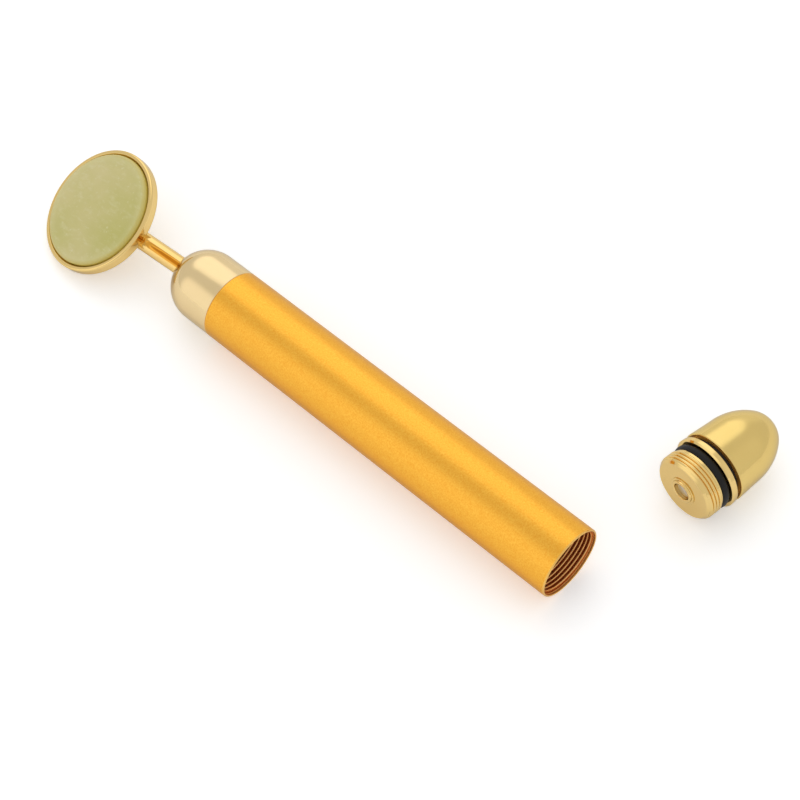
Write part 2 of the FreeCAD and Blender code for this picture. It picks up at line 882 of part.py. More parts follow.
def make_cap_dome():
    """Bullet dome that turns on the plug's neck, with a post that drives the switch plate."""
    wall_r = neck_r + d.twist_gap
    post_r = d.post_d / 2
    shoulder_r = tube_r - d.cap_taper
    shoulder = cap_rim + d.cap_taper_length
    tip = shoulder + d.cap_nose_length
    nose_r = shoulder_r - d.cap_nose_slack
    reach = d.cap_nose_length - nose_r
    side_r = (reach * reach + shoulder_r * shoulder_r - nose_r * nose_r) / ((shoulder_r - nose_r) * 2)
    side_drop = side_r - shoulder_r
    share = nose_r / (side_r - nose_r)
    meeting = (shoulder + reach + reach * share, side_drop * share)
    clip_room_r = neck_r + d.clip_height / 2 + d.ring_slack
    clip_end = neck_end - d.clip_width + d.twist_gap
    clip_start = clip_end - d.clip_width - d.ring_slack * 2 - d.twist_gap * 2
    outline = [
        (cap_seat, wall_r),
        (cap_seat, tube_r - d.cap_rim_round - d.cap_rim_bevel),
        (cap_rim, tube_r - d.cap_rim_round, d.cap_rim_round, False),
        (cap_rim + d.cap_rim_round, tube_r),
        (shoulder, shoulder_r, side_r, False),
        (*meeting, nose_r, False),
        (tip, 0),
        (post_end, 0),
        (post_end, post_r),
        (dome_cavity_end, post_r),
        (dome_cavity_end, wall_r),
        (clip_end, wall_r),
        (clip_end, clip_room_r),
        (clip_start, clip_room_r),
        (clip_start, wall_r),
    ]
    finish("tail_dome", turned("cap_shell", cap, outline))
    plate_r = plug_cavity_r - d.plate_gap
    plate_outline = [
        (plate_front, 0),
        (plate_front, plate_r),
        (post_end, plate_r),
        (post_end, 0),
    ]
    finish("switch_plate", turned("plate", cap, plate_outline))


def make_clip():
    """Open spring ring that keeps the dome on the neck."""
    inner_r = neck_r - d.clip_height / 2
    outer_r = neck_r + d.clip_height / 2
    end = neck_end - d.clip_width - d.ring_slack
    start = end - d.clip_width
    outline = [
        (start, inner_r),
        (start, outer_r),
        (end, outer_r),
        (end, inner_r),
    ]
    ring = turned("clip_ring", cap, outline)
    place = moved(cap, x=start, y=-d.clip_opening / 2)
    gap = box("clip_gap", place, d.clip_width, d.clip_opening, neck_r * 2)
    finish("retaining_clip", cut("clip_cut", ring, gap))


def make_all():
    """Builds every sub-part in the order that it would be fitted."""
    make_tube()
    make_front_dome()
    make_neck()
    make_dish()
    make_stone()
    make_cell()
    make_front_contact()
    make_holder()
    make_motor_case()
    make_rotor()
    make_leads()
    make_plug()
    make_seal()
    make_turn_washer()
    make_tail_contact()
    make_cap_dome()
    make_clip()
    doc.recompute()


def check_all():
    """Stops if an object failed or a sub-part has no sound solid."""
    for item in doc.Objects:
        if "Invalid" in item.State or "Error" in item.State:
            raise RuntimeError(f"{item.Label} failed: {item.State}")
    for label, piece in finished.items():
        shape = piece.Shape
        if shape.isNull() or not shape.isValid() or not shape.Solids:
            raise RuntimeError(f"{label} has no valid solid")
        print(f"{label}: {len(shape.Solids)} solid, {shape.Volume:.1f} mm3")


def write_all():
    """Writes each sub-part to its own file."""
    os.makedirs("parts", exist_ok=True)
    for label, piece in finished.items():
        piece.Shape.exportStep(f"parts/{label}.step")


make_all()
check_all()
write_all()
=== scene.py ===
import json
import math

import bpy
from mathutils import Matrix, Vector


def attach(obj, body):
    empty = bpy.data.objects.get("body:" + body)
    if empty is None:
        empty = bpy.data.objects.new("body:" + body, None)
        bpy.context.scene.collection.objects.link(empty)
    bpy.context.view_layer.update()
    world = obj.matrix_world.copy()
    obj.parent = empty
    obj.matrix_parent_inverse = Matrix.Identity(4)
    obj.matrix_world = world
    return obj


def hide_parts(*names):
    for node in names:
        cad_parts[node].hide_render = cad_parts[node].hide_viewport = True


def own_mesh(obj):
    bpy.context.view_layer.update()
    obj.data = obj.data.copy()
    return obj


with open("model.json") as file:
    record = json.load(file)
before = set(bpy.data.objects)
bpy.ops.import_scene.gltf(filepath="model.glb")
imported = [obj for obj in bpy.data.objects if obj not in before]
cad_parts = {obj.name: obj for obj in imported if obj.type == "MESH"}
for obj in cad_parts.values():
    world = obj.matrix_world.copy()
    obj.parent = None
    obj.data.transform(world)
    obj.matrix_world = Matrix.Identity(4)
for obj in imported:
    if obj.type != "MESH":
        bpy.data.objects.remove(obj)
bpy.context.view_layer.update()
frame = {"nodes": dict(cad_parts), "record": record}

MM = 0.001
TURN_STEPS = 224

# All sizes are in millimetres and angles in degrees, as in the part's own source.
# Handle: tube from its mouth to the seam, with a lead-in and a thread inside the mouth
TUBE_R = 8.5
TUBE_LENGTH = 99.3
SEAM_ROUND = 0.15
MOUTH_ROUND = 0.3
RIM_BEVEL = 0.1
LEAD_R = 8.05
LEAD_DEPTH = 0.55
LEAD_SLOPE = 0.12
THREAD_BORE_R = 7.925
THREAD_DEPTH = 6.79
BORE_R = 7.5
LINING = 0.2
LINING_START = 0.4
LINING_STEP = 0.5
PITCH = 0.85
MOUTH_RIDGE_LAP = 0.06
MOUTH_RIDGE_RUNOUT = 0.4
MOUTH_RIDGE_HEIGHT = 0.40

# Cell's tail plate and front contact spring
CELL_TAIL = 6.99
CELL_PLATE_R = 5.6
CELL_PLATE_SLOPE = 0.4
CELL_PLATE_PROUD = 0.03
CELL_PLATE_EDGE = 0.1
CELL_PLATE_BACK = 0.4
SPRING_START = 57.59
SPRING_LENGTH = 4.1
SPRING_D = 4.6
SPRING_WIRE = 0.5
SPRING_TURNS = 3.5

# Front dome
DOME_SKIRT = 7.6
DOME_TIP = TUBE_LENGTH + DOME_SKIRT + TUBE_R
SPIGOT = 6.0
SPIGOT_R = 7.47
SPIGOT_WALL = 1.0

# Neck: round, fluted on the stone's side, coped to the dish's back
HEAD_YAW = 4.82
HEAD_PITCH = 3.73
HEAD_ROLL = 27.6
STEM_R = 2.175
STEM_RUN = 20.0
STEM_SUNK = 3.0
STEM_SIDES = 72
STEM_END_STEPS = 12
FLUTE_WIDTH = 1.72
FLUTE_DEPTH = 1.68
FLUTE_END = 12.0
FLUTE_RUNOUT = 4.0
FLUTE_LEAST_SHARE = 0.3
FLUTE_LIP_DROP = 0.08
COPE_START = 9.0
COPE_MARGIN = 0.9
COPE_SINK = 0.3

# Dish and stone
DISC_REACH = 26.04
DISC_DROP = 0.3
DISC_TILT = 18.35
DISH_R = 15.275
DISH_DEPTH = 2.86
DISH_FLOOR = 0.8
DISH_BACK_ROUND = 0.9
LIP_WIDTH = 1.3
LIP_ROUND = 0.5
LIP_BEVEL = 0.35
LIP_BEVEL_DEPTH = 0.5
LIP_INNER_ROUND = 0.18
LIP_INNER_SHIFT = 0.1
LIP_INNER_LEAN = -50
STONE_R = 13.925
STONE_PROUD = 0.8
STONE_ROUND = 0.9
STONE_CROWN = 0.4
STONE_MIDDLE_R = 7.5

# Tail cap: threaded plug, ring groove, land, neck and washer, along the cap's axis from its nose
CAP_NOSE = (6.081, 29.302, 0.0)
CAP_HEADING = 82.935
PLUG_R = 7.425
PLUG_CHAMFER = 0.46
PLUG_RIDGE_START = -0.3
PLUG_RIDGE_RUNOUT = 0.15
PLUG_RIDGE_HEIGHT = 0.385
GROOVE = 4.24
GROOVE_R = 6.55
LAND = 6.29
LAND_END = 7.69
LAND_BEVEL = 0.35
LAND_ROUND = 0.2
NECK_R = 6.4
NECK_END = 13.69
CAVITY_R = 5.2
WEB = 2.2
SEAL_AT = 5.265
SEAL_MID_R = 7.2
SEAL_HALF_WIDTH = 0.96
SEAL_HALF_HEIGHT = 0.66
WASHER_R = 6.9
WASHER_END = 9.06
WASHER_PLAY = 0.03

# Contact eyelet and core in the plug's nose
BUSH_WALL = 0.53
EYELET_BORE = 2.05
EYELET_R = 2.75
EYELET_H = 0.6
EYELET_LIP = 0.2
EYELET_TAIL = 1.0
FLANGE_R = 3.3
FLANGE = 0.25
FLANGE_ROUND = 0.12
FLANGE_GAP = 0.05
CORE_SETBACK = 0.3
CORE_THICK = 1.0
CORE_PLAY = 0.03
CORE_BEVEL = 0.12

# Bullet dome of the tail cap
CAP_RIM = 8.86
CAP_RIM_ROUND = 0.3
CAP_RIM_BEVEL = 0.6
CAP_SEAT = 9.36
TAPER = 5.79
SHOULDER_R = 8.14
NOSE_LENGTH = 11.26
NOSE_R = 6.34
TURN_PLAY = 0.08
CAP_ROOM = 0.9
FACING = 0.02
FACING_RIM = 0.01
FACING_BACK = 0.1
FACING_ROOT = 0.05


def turn(axis, degrees):
    """Rotation about one axis."""
    return Matrix.Rotation(math.radians(degrees), 4, axis)


def shift(x=0.0, y=0.0, z=0.0):
    """Move in millimetres."""
    return Matrix.Translation(Vector((x, y, z)))


# Places of the groups, each with its own axis along +X, but for the disc, whose face looks along +Z
HANDLE = turn("Z", 180)
NECK_FOOT = HANDLE @ shift(DOME_TIP)
HEAD = NECK_FOOT @ turn("Z", HEAD_YAW) @ turn("Y", -HEAD_PITCH) @ turn("X", -HEAD_ROLL)
DISC = HEAD @ shift(DISC_REACH, 0, -DISC_DROP) @ turn("Y", DISC_TILT)
DISH = DISC @ shift(z=-DISH_DEPTH) @ turn("Y", -90)
CAP = shift(*CAP_NOSE) @ turn("Z", CAP_HEADING)


def arc(along, radius, size, first, last, steps=8):
    """Points of a round in a profile: middle (along, radius), angles in degrees."""
    points = []
    for step in range(steps + 1):
        angle = math.radians(first + (last - first) * step / steps)
        points.append((along + size * math.cos(angle), radius + size * math.sin(angle)))
    return points


def mesh_object(name, place, points, faces, crease=32):
    """A mesh from points in millimetres, smooth but for creases."""
    mesh = bpy.data.meshes.new(name)
    mesh.from_pydata([place @ Vector(p) * MM for p in points], [], faces)
    mesh.validate()
    mesh.shade_smooth()
    mesh.set_sharp_from_angle(angle=math.radians(crease))
    piece = bpy.data.objects.new(name, mesh)
    bpy.context.scene.collection.objects.link(piece)
    return piece


def lathe(name, place, profile, crease=32, steps=TURN_STEPS):
    """Turns a closed profile of (along, radius) points about the piece's own X axis."""
    points, rows = [], []
    for along, radius in profile:
        if radius <= 1e-9:
            rows.append([len(points)] * steps)
            points.append((along, 0.0, 0.0))
            continue
        rows.append(list(range(len(points), len(points) + steps)))
        for step in range(steps):
            angle = 2 * math.pi * step / steps
            points.append((along, radius * math.cos(angle), radius * math.sin(angle)))
    faces = []
    for row, following in zip(rows, rows[1:] + rows[:1]):
        for step in range(steps):
            after = (step + 1) % steps
            corners = []
            for corner in (row[step], row[after], following[after], following[step]):
                if corner not in corners:
                    corners.append(corner)
            if len(corners) > 2:
                faces.append(corners[::-1])
    return mesh_object(name, place, points, faces, crease)


def tube_faces(rows, width):
    """Faces of a closed band of rows with a flat face at each end."""
    faces = []
    for row in range(rows - 1):
        for corner in range(width):
            a = row * width + corner
            b = row * width + (corner + 1) % width
            faces.append([a, b, b + width, a + width])
    faces.append(list(range(width))[::-1])
    faces.append([(rows - 1) * width + corner for corner in range(width)])
    return faces


# Thread crests as (share of the pitch, share of the height), a sharper and a broader one
FINE_CREST = [(-0.42, -0.04), (-0.42, 0.0), (-0.20, 0.76), (-0.08, 1.0)]
FINE_CREST += [(-offset, rise) for offset, rise in reversed(FINE_CREST)]
WIDE_CREST = [(-0.47, -0.04), (-0.47, 0.0), (-0.30, 0.72), (-0.17, 1.0)]
WIDE_CREST += [(-offset, rise) for offset, rise in reversed(WIDE_CREST)]
FADE_TURNS = 0.35
LEAST_RISE = 0.04
CONE_SLOPE = 0.85


def helix(name, place, start, end, root, height, shape, lead, per_turn=96):
    """Right-handed thread ridge on a cylinder of radius root; a negative height points inwards.

    The ridge fades at both ends and stays within a lead-in cone that begins at lead."""
    count = int((end - start) / PITCH * per_turn)
    fade = per_turn * FADE_TURNS
    points = []
    for step in range(count + 1):
        angle = 2 * math.pi * step / per_turn
        middle = start + (end - start) * step / count
        grow = max(LEAST_RISE, min(1.0, step / fade, (count - step) / fade))
        for offset, rise in shape:
            along = max(middle + offset * PITCH, lead)
            radius = root + height * (rise * grow if rise > 0 else rise)
            if height > 0:
                radius = min(radius, root - PLUG_CHAMFER + (along - lead) * CONE_SLOPE)
            points.append((along, radius * math.cos(angle), radius * math.sin(angle)))
    faces = tube_faces(count + 1, len(shape))
    if height < 0:
        faces = [face[::-1] for face in faces[:-2]] + faces[-2:]
    return mesh_object(name, place, points, faces, 50)


class Nodes:
    """A material's node tree with short ways to add and join nodes."""

    def __init__(self, name):
        self.material = bpy.data.materials.new(name)
        self.material.use_nodes = True
        self.tree = self.material.node_tree
        self.shader = self.tree.nodes["Principled BSDF"]
        self.where = self.add("ShaderNodeTexCoord").outputs["Object"]

    def add(self, kind, **inputs):
        """A new node with some of its sockets set."""
        node = self.tree.nodes.new(kind)
        for key, value in inputs.items():
            node.inputs[key.replace("_", " ")].default_value = value
        return node

    def join(self, start, end):
        """A link between two sockets."""
        self.tree.links.new(start, end)

    def feed(self, value, socket):
        """A link into one of the shader's sockets."""
        self.join(value, self.shader.inputs[socket])

    def noise(self, scale, detail=4.0, rough=0.6, stretch=(1, 1, 1)):
        """Noise between 0 and 1 over the object's own space."""
        mapping = self.add("ShaderNodeMapping", Scale=stretch)
        self.join(self.where, mapping.inputs["Vector"])
        node = self.add("ShaderNodeTexNoise", Scale=scale, Detail=detail, Roughness=rough)
        self.join(mapping.outputs["Vector"], node.inputs["Vector"])
        return node.outputs["Fac"]

    def spread(self, value, low, high):
        """Maps the middle of a noise onto a range."""
        node = self.add("ShaderNodeMapRange", From_Min=0.3, From_Max=0.7, To_Min=low, To_Max=high)
        self.join(value, node.inputs["Value"])
        return node.outputs["Result"]

    def colours(self, value, first, second):
        """A mix of two colours by a noise."""
        node = self.add("ShaderNodeValToRGB")
        node.color_ramp.elements[0].position = 0.3
        node.color_ramp.elements[1].position = 0.7
        node.color_ramp.elements[0].color = (*first, 1)
        node.color_ramp.elements[1].color = (*second, 1)
        self.join(value, node.inputs["Fac"])
        return node.outputs["Color"]

    def veil(self, colour, value, low, high, most, veil):
        """Lays another colour over one, growing from none to most as a value goes from low to high."""
        mask = self.add("ShaderNodeMapRange", From_Min=low, From_Max=high, To_Min=0.0, To_Max=most)
        self.join(value, mask.inputs["Value"])
        mix = self.add("ShaderNodeMix")
        mix.data_type = "RGBA"
        mix.inputs["B"].default_value = (*veil, 1)
        self.join(mask.outputs["Result"], mix.inputs["Factor"])
        self.join(colour, mix.inputs["A"])
        return mix.outputs["Result"]

    def bump(self, value, strength):
        """Fine surface relief from a noise."""
        node = self.add("ShaderNodeBump", Strength=strength, Distance=0.03 * MM)
        self.join(value, node.inputs["Height"])
        self.feed(node.outputs["Normal"], "Normal")

    def set(self, **inputs):
        """Sets constant sockets of the shader."""
        for key, value in inputs.items():
            self.shader.inputs[key.replace("_", " ")].default_value = value


def metal(name, first, second, rough, grain_scale, grain,
          patch_scale=90, stretch=(1, 1, 1), edge=0.72, bare=1.0):
    """Bare or plated metal: two close tones, uneven polish, fine grain, tint at grazing angles."""
    nodes = Nodes(name)
    nodes.set(Metallic=bare, Specular_Tint=(edge, edge, edge, 1))
    nodes.feed(nodes.colours(nodes.noise(patch_scale), first, second), "Base Color")
    nodes.feed(nodes.spread(nodes.noise(patch_scale * 6, stretch=stretch), *rough), "Roughness")
    nodes.bump(nodes.noise(grain_scale, detail=2.0, stretch=stretch), grain)
    return nodes.material


def plain(name, first, second, rough, grain_scale, grain, patch_scale=300, gloss=0.5):
    """Rubber, plastic or board: two close tones, uneven sheen, fine grain."""
    nodes = Nodes(name)
    nodes.set(Specular_IOR_Level=gloss)
    nodes.feed(nodes.colours(nodes.noise(patch_scale), first, second), "Base Color")
    nodes.feed(nodes.spread(nodes.noise(patch_scale * 3), *rough), "Roughness")
    nodes.bump(nodes.noise(grain_scale, detail=2.0), grain)
    return nodes.material


# Colours inside the mouth, by radius from the crests' tops to the lead-in: pale crests as a painted highlight,
# brown flanks and roots as painted shade
THREAD_TOP_R = 7.5
CREST_HIGHLIGHT_GOLD = (0.95, 0.53, 0.19, 1)
FLANK_SHADE_BROWN = (0.50, 0.13, 0.026, 1)
ROOT_SHADE_BROWN = (0.46, 0.11, 0.02, 1)
LEAD_GOLD = (0.80, 0.40, 0.12, 1)


def shaded_thread_metal(name):
    """Inside of the mouth: warm lead-in, thread roots and flanks painted deep red-brown as shade, crests
    painted pale as a highlight.
    """
    nodes = Nodes(name)
    nodes.set(Metallic=0.7, Specular_IOR_Level=0.2, Specular_Tint=(0.95, 0.60, 0.28, 1))
    flat = nodes.add("ShaderNodeMapping", Scale=(0, 1, 1))
    nodes.join(nodes.where, flat.inputs["Vector"])
    radius = nodes.add("ShaderNodeVectorMath")
    radius.operation = "LENGTH"
    nodes.join(flat.outputs["Vector"], radius.inputs[0])
    place = nodes.add("ShaderNodeMapRange", From_Min=THREAD_TOP_R * MM, From_Max=LEAD_R * MM)
    nodes.join(radius.outputs["Value"], place.inputs["Value"])
    wobble = nodes.add("ShaderNodeMath")
    wobble.operation = "ADD"
    nodes.join(nodes.spread(nodes.noise(900), -0.04, 0.04), wobble.inputs[0])
    nodes.join(place.outputs["Result"], wobble.inputs[1])
    # Painted light by radius: pale highlight on the crests, painted shade on the flanks and in the roots.
    ramp = nodes.add("ShaderNodeValToRGB")
    stops = ramp.color_ramp.elements
    stops[0].position = 0.12
    stops[0].color = CREST_HIGHLIGHT_GOLD
    stops[1].position = 0.97
    stops[1].color = LEAD_GOLD
    stops.new(0.34).color = FLANK_SHADE_BROWN
    stops.new(0.85).color = ROOT_SHADE_BROWN
    nodes.join(wobble.outputs["Value"], ramp.inputs["Fac"])
    nodes.feed(ramp.outputs["Color"], "Base Color")
    nodes.feed(nodes.spread(nodes.noise(1200), 0.20, 0.30), "Roughness")
    nodes.bump(nodes.noise(6000, detail=2.0), 0.08)
    return nodes.material


# Colours of the stone
STONE_GREEN = (0.54, 0.50, 0.15)
STONE_PALE = (0.65, 0.57, 0.255)
STONE_WISP = (0.80, 0.77, 0.50)
STONE_FLECK = (0.76, 0.73, 0.46)
STONE_RIM_HIGHLIGHT = (0.80, 0.75, 0.40)
STONE_GOLD_REFLECTION = (0.60, 0.47, 0.07)

# Where the stone's painted rim highlight begins and is full, and where the painted reflection of the gold
# setting begins, from its edge
RIM_HIGHLIGHT_START = 2.2
RIM_HIGHLIGHT_FULL = 0.9
GOLD_REFLECTION_START = 0.95


def stone(name):
    """Pale green stone: cloudy body, whitish wisps and flecks, a paler ring near its edge painted as a
    highlight, and the gold setting painted at its very edge as a reflection.
    """
    nodes = Nodes(name)
    colour = nodes.colours(nodes.noise(62, detail=6.0, rough=0.55), STONE_GREEN, STONE_PALE)
    wisps = nodes.noise(330, detail=5.0, rough=0.65, stretch=(1, 2.6, 1))
    colour = nodes.veil(colour, wisps, 0.52, 0.76, 0.28, STONE_WISP)
    flecks = nodes.noise(900, detail=3.0, rough=0.7)
    colour = nodes.veil(colour, flecks, 0.62, 0.76, 0.45, STONE_FLECK)
    middle = nodes.add("ShaderNodeVectorMath")
    middle.operation = "DISTANCE"
    middle.inputs[1].default_value = DISC @ Vector((0, 0, 0)) * MM
    nodes.join(nodes.where, middle.inputs[0])
    edge = middle.outputs["Value"]
    # Painted highlight: a paler ring along the stone's shoulder.
    colour = nodes.veil(colour, edge, (STONE_R - RIM_HIGHLIGHT_START) * MM, (STONE_R - RIM_HIGHLIGHT_FULL) * MM, 0.14, STONE_RIM_HIGHLIGHT)
    # Painted reflection: the gold setting mirrored in the stone's rounded edge.
    colour = nodes.veil(colour, edge, (STONE_R - GOLD_REFLECTION_START) * MM, STONE_R * MM, 0.85, STONE_GOLD_REFLECTION)
    nodes.feed(colour, "Base Color")
    nodes.feed(nodes.spread(nodes.noise(400), 0.06, 0.11), "Roughness")
    nodes.bump(nodes.noise(700), 0.03)
    nodes.set(Subsurface_Weight=0.2, Subsurface_Radius=(0.6, 0.6, 0.3), Subsurface_Scale=0.6 * MM, IOR=1.6)
    return nodes.material


# Finishes as darker tone, lighter tone, range of roughness, scale of the grain, strength of the grain
METALS = {
    "satin_gold": ((0.89, 0.38, 0.034), (1.0, 0.56, 0.078), (0.30, 0.36), 2600, 0.6),
    "rim_gold": ((0.90, 0.52, 0.13), (0.94, 0.57, 0.16), (0.22, 0.30), 5000, 0.06),
    "polished_gold": ((0.84, 0.60, 0.225), (0.87, 0.63, 0.25), (0.05, 0.09), 2500, 0.012),
    "hazy_gold": ((0.78, 0.565, 0.19), (0.81, 0.595, 0.21), (0.14, 0.19), 5000, 0.02),
    "pale_gold": ((0.81, 0.615, 0.32), (0.84, 0.645, 0.35), (0.09, 0.14), 5000, 0.02),
    "stem_gold": ((0.89, 0.605, 0.215), (0.91, 0.63, 0.235), (0.04, 0.07), 2500, 0.012),
    # Painted shade: the rim bevel's facing, deeper orange and half metallic, for the dark gap it mirrors.
    "bevel_shade_gold": ((0.80, 0.42, 0.08), (0.84, 0.46, 0.10), (0.25, 0.32), 4000, 0.04),
    "nickel": ((0.62, 0.58, 0.54), (0.70, 0.66, 0.62), (0.28, 0.36), 4000, 0.08),
    "contact_brass": ((0.70, 0.48, 0.16), (0.78, 0.56, 0.22), (0.22, 0.30), 4000, 0.06),
    "spring_steel": ((0.52, 0.52, 0.52), (0.60, 0.60, 0.60), (0.22, 0.32), 4000, 0.05),
    "can_steel": ((0.58, 0.58, 0.57), (0.66, 0.66, 0.65), (0.28, 0.36), 3500, 0.06),
    "winding": ((0.40, 0.16, 0.07), (0.50, 0.22, 0.10), (0.3, 0.4), 5000, 0.2),
    "weight_metal": ((0.42, 0.34, 0.20), (0.50, 0.42, 0.27), (0.28, 0.36), 4000, 0.08),
}
PLAINS = {
    "seal_rubber": ((0.0035, 0.0026, 0.002), (0.006, 0.0046, 0.0036), (0.46, 0.56), 5000, 0.15),
    "white_nylon": ((0.74, 0.72, 0.68), (0.80, 0.78, 0.74), (0.45, 0.55), 3000, 0.1),
    "black_plastic": ((0.02, 0.02, 0.022), (0.03, 0.03, 0.032), (0.45, 0.55), 4000, 0.15),
    "board": ((0.22, 0.12, 0.05), (0.30, 0.17, 0.07), (0.5, 0.6), 3000, 0.15),
    "ferrite": ((0.035, 0.035, 0.04), (0.055, 0.055, 0.06), (0.5, 0.6), 3000, 0.2),
    "cell_sleeve": ((0.04, 0.045, 0.055), (0.06, 0.065, 0.08), (0.25, 0.32), 2500, 0.05),
}
OPTIONS = {
    "satin_gold": {"patch_scale": 3300, "edge": 0.66},
    "bevel_shade_gold": {"bare": 0.45},
    "winding": {"stretch": (6, 1, 1)},
    "seal_rubber": {"gloss": 0.3},
}
MATERIALS = {name: metal(name, *row, **OPTIONS.get(name, {})) for name, row in METALS.items()}
MATERIALS.update({name: plain(name, *row, **OPTIONS.get(name, {})) for name, row in PLAINS.items()})
MATERIALS["thread_painted_light_gold"] = shaded_thread_metal("thread_painted_light_gold")
MATERIALS["jade"] = stone("jade")


def dress(piece, body, slot, node=None, material=None):
    """Puts a piece on its body, gives it its finish and, where it stands for a CAD node, hides that node."""
    piece.data.materials.append(MATERIALS[material or slot])
    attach(piece, body)
    if node:
        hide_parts(node)


def build_tube():
    """Satin tube with a bright soft rim, the thread inside it and the plain cell bore behind."""
    skin = arc(TUBE_LENGTH - SEAM_ROUND, TUBE_R - SEAM_ROUND, SEAM_ROUND, 90, 0, 4)
    skin += [(TUBE_LENGTH, BORE_R + LINING), (MOUTH_ROUND, LEAD_R + LINING), (MOUTH_ROUND, TUBE_R)]
    dress(lathe("tube_skin", HANDLE, skin), "handle", "satin_gold", "handle_tube")
    rim = [(RIM_BEVEL, LEAD_R), (0.0, LEAD_R + RIM_BEVEL)]
    rim += arc(MOUTH_ROUND, TUBE_R - MOUTH_ROUND, MOUTH_ROUND, 180, 90)
    rim += [(MOUTH_ROUND, LEAD_R + RIM_BEVEL)]
    dress(lathe("mouth_rim", HANDLE, rim), "handle", "satin_gold", "handle_tube", "rim_gold")
    bore = [(RIM_BEVEL, LEAD_R), (LEAD_DEPTH, LEAD_R), (LEAD_DEPTH + LEAD_SLOPE, THREAD_BORE_R)]
    bore += [(THREAD_DEPTH, THREAD_BORE_R), (THREAD_DEPTH, BORE_R), (TUBE_LENGTH, BORE_R)]
    bore += [(TUBE_LENGTH, BORE_R + LINING), (THREAD_DEPTH + LINING_STEP, BORE_R + LINING)]
    bore += [(THREAD_DEPTH + LINING_STEP, THREAD_BORE_R + RIM_BEVEL), (LINING_START, LEAD_R + RIM_BEVEL)]
    dress(lathe("tube_bore", HANDLE, bore), "handle", "satin_gold", "handle_tube", "thread_painted_light_gold")
    start = LEAD_DEPTH - MOUTH_RIDGE_LAP
    end = THREAD_DEPTH - MOUTH_RIDGE_RUNOUT
    inwards = -MOUTH_RIDGE_HEIGHT
    ridge = helix("mouth_ridge", HANDLE, start, end, THREAD_BORE_R, inwards, FINE_CREST, LEAD_DEPTH)
    dress(ridge, "handle", "satin_gold", "handle_tube", "thread_painted_light_gold")


def build_cell_tail():
    """Bare metal disc at the tail of the cell, seen through the mouth."""
    front = CELL_TAIL - CELL_PLATE_PROUD
    edge = CELL_TAIL + CELL_PLATE_EDGE
    back = CELL_TAIL + CELL_PLATE_BACK
    disc = [(front, 0.0), (front, CELL_PLATE_R - CELL_PLATE_SLOPE)]
    disc += [(edge, CELL_PLATE_R), (back, CELL_PLATE_R), (back, 0.0)]
    dress(lathe("cell_tail", HANDLE, disc), "battery", "nickel")


def build_front_spring():
    """Front contact spring, which shortens as the cell is pressed in."""
    steps, sides = 140, 10
    wire = SPRING_WIRE / 2
    radius = (SPRING_D - SPRING_WIRE) / 2
    rise = SPRING_LENGTH - SPRING_WIRE
    climb = rise / (2 * math.pi * SPRING_TURNS)
    points = []
    for step in range(steps + 1):
        angle = 2 * math.pi * SPRING_TURNS * step / steps
        outward = Vector((0, math.cos(angle), math.sin(angle)))
        way = Vector((climb, -radius * outward.z, radius * outward.y)).normalized()
        sideways = way.cross(outward)
        middle = Vector((SPRING_START + wire + rise * step / steps, 0, 0)) + outward * radius
        for corner in range(sides):
            turned = 2 * math.pi * corner / sides
            points.append(middle + (outward * math.cos(turned) + sideways * math.sin(turned)) * wire)
    piece = mesh_object("contact_coil", HANDLE, points, tube_faces(steps + 1, sides), 60)
    dress(piece, "handle", "spring_steel", "front_spring")
    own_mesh(piece)


def build_front_dome():
    """Polished round nose with its spigot."""
    spigot_end = TUBE_LENGTH - SPIGOT
    spigot_bore = SPIGOT_R - SPIGOT_WALL
    profile = [(spigot_end, spigot_bore), (spigot_end, SPIGOT_R), (TUBE_LENGTH, SPIGOT_R)]
    profile += arc(TUBE_LENGTH + SEAM_ROUND, TUBE_R - SEAM_ROUND, SEAM_ROUND, 180, 90, 4)
    profile += arc(TUBE_LENGTH + DOME_SKIRT, 0, TUBE_R, 90, 0, 40)
    profile[-1] = (DOME_TIP, 0.0)
    profile += [(TUBE_LENGTH + SPIGOT, 0.0), (TUBE_LENGTH + SPIGOT, spigot_bore)]
    dress(lathe("dome_shell", HANDLE, profile), "handle", "polished_gold", "front_dome", "pale_gold")


def on_stem(angle):
    """Point of the neck's round section, by angle from the stone's side."""
    return STEM_R * math.sin(angle), STEM_R * math.cos(angle)


def stem_stations():
    """Places along the neck with the section's scale: straight, close under the dish, round at the end."""
    places = [-STEM_SUNK + (COPE_START + STEM_SUNK) * step / 4 for step in range(5)]
    places += [COPE_START + (FLUTE_END - COPE_START) * step / 15 for step in range(1, 16)]
    places += [FLUTE_END + 2, FLUTE_END + 4]
    stations = [(place, 1.0) for place in places]
    ball = STEM_RUN - STEM_R
    for step in range(STEM_END_STEPS + 1):
        angle = step * math.pi / (2 * STEM_END_STEPS + 1)
        stations.append((ball + STEM_R * math.sin(angle), math.cos(angle)))
    return stations


